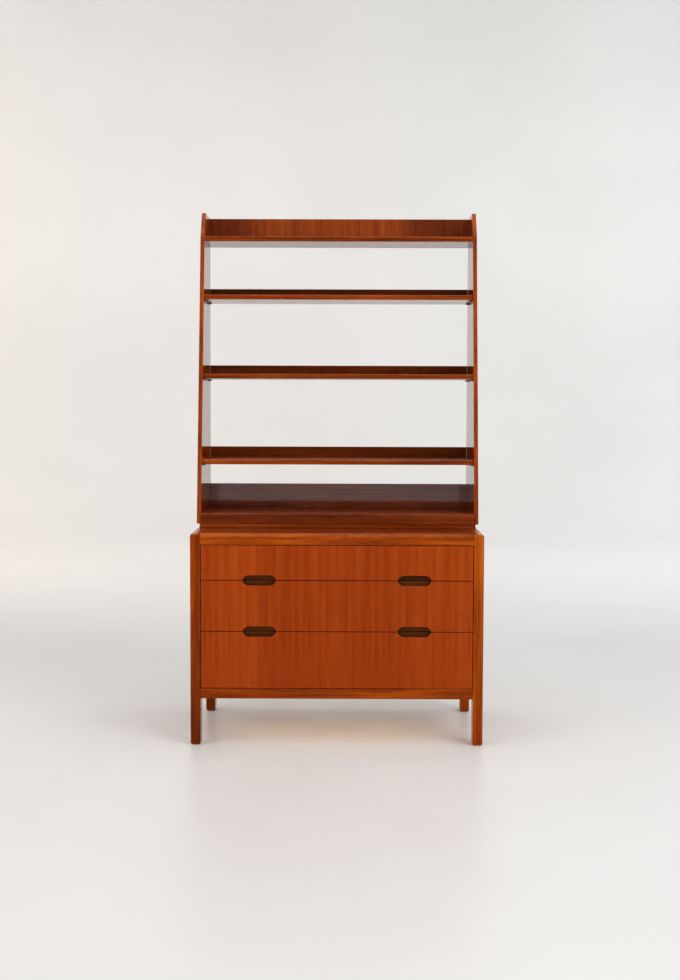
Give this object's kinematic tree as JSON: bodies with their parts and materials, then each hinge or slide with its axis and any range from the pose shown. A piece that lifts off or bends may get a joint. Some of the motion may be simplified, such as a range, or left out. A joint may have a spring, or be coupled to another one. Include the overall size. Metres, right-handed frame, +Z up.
{
  "type": "bookcase with adjustable shelves",
  "caption": "Tall teak bookcase hutch with sloping sides and adjustable shelves on a low chest of drawers with faceted inset finger pulls and square legs.",
  "frame": {"origin": "centre of the footprint on the floor", "axes": "+Z up, -Y towards the drawer fronts (front), +X to the right seen from the front"},
  "size_m": [0.86, 0.5, 1.6005],
  "materials": {
    "teak_frame": "warm golden brown solid teak with long grain, satin lacquer",
    "teak_veneer": "red-brown teak veneer with fine straight grain, glossy lacquer",
    "teak_drawer_fronts": "orange red-brown teak veneer with upright grain in matched leaves, glossy lacquer",
    "teak_back_rails": "dark red-brown teak, satin lacquer",
    "teak_pulls": "dark brown stained teak, seen inside the finger pulls",
    "beech": "pale beech, plain oiled",
    "plywood": "thin birch plywood, unfinished",
    "brass": "plain brass, slightly dulled",
    "steel_screws": "zinc-plated steel"
  },
  "bodies": {
    "carcass": {"post_front_left": "teak_frame", "post_front_right": "teak_frame", "post_rear_left": "teak_frame", "post_rear_right": "teak_frame", "side_panel_left": "teak_veneer", "side_panel_right": "teak_veneer", "chest_top": "teak_veneer", "top_front_rail": "teak_frame", "bottom_front_rail": "teak_frame", "top_rear_rail": "beech", "bottom_rear_rail": "beech", "back_panel": "plywood", "dust_panel": "plywood", "runner_top_left": "beech", "runner_top_right": "beech", "runner_middle_left": "beech", "runner_middle_right": "beech", "runner_bottom_left": "beech", "runner_bottom_right": "beech", "drawer_stops": "beech", "plinth_front": "teak_veneer", "plinth_rear": "teak_veneer", "plinth_left": "teak_veneer", "plinth_right": "teak_veneer", "hutch_side_left": "teak_veneer", "hutch_side_right": "teak_veneer", "hutch_bottom_board": "teak_veneer", "hutch_bottom_front_rail": "teak_frame", "hutch_bottom_back_rail": "teak_back_rails", "hutch_top_board": "teak_veneer", "hutch_top_back_board": "teak_back_rails", "shelf_pins_low": "brass", "shelf_pins_middle": "brass", "shelf_pins_high": "brass", "hutch_screws": "steel_screws"},
    "drawer_top": {"drawer_top_front": "teak_drawer_fronts", "drawer_top_inner_front": "teak_pulls", "drawer_top_side_left": "beech", "drawer_top_side_right": "beech", "drawer_top_back": "beech", "drawer_top_base": "plywood"},
    "drawer_middle": {"drawer_middle_front": "teak_drawer_fronts", "drawer_middle_inner_front": "teak_pulls", "drawer_middle_side_left": "beech", "drawer_middle_side_right": "beech", "drawer_middle_back": "beech", "drawer_middle_base": "plywood"},
    "drawer_bottom": {"drawer_bottom_front": "teak_drawer_fronts", "drawer_bottom_inner_front": "teak_pulls", "drawer_bottom_side_left": "beech", "drawer_bottom_side_right": "beech", "drawer_bottom_back": "beech", "drawer_bottom_base": "plywood"},
    "adjustable_shelf_low": {"shelf_low": "teak_veneer", "shelf_lip_low": "teak_back_rails"},
    "adjustable_shelf_middle": {"shelf_middle": "teak_veneer", "shelf_lip_middle": "teak_back_rails"},
    "adjustable_shelf_high": {"shelf_high": "teak_veneer", "shelf_lip_high": "teak_back_rails"}
  },
  "joints": [
    {"name": "drawer_top_slide", "type": "slide", "parent": "carcass", "child": "drawer_top", "axis": [0, -1, 0], "range_m": [0, 0.3]},
    {"name": "drawer_middle_slide", "type": "slide", "parent": "carcass", "child": "drawer_middle", "axis": [0, -1, 0], "range_m": [0, 0.3]},
    {"name": "drawer_bottom_slide", "type": "slide", "parent": "carcass", "child": "drawer_bottom", "axis": [0, -1, 0], "range_m": [0, 0.3]},
    {"name": "shelf_low_lift", "type": "slide", "parent": "carcass", "child": "adjustable_shelf_low", "axis": [0, 0, 1], "range_m": [0, 0.03]},
    {"name": "shelf_middle_lift", "type": "slide", "parent": "carcass", "child": "adjustable_shelf_middle", "axis": [0, 0, 1], "range_m": [0, 0.03]},
    {"name": "shelf_high_lift", "type": "slide", "parent": "carcass", "child": "adjustable_shelf_high", "axis": [0, 0, 1], "range_m": [0, 0.03]}
  ]
}
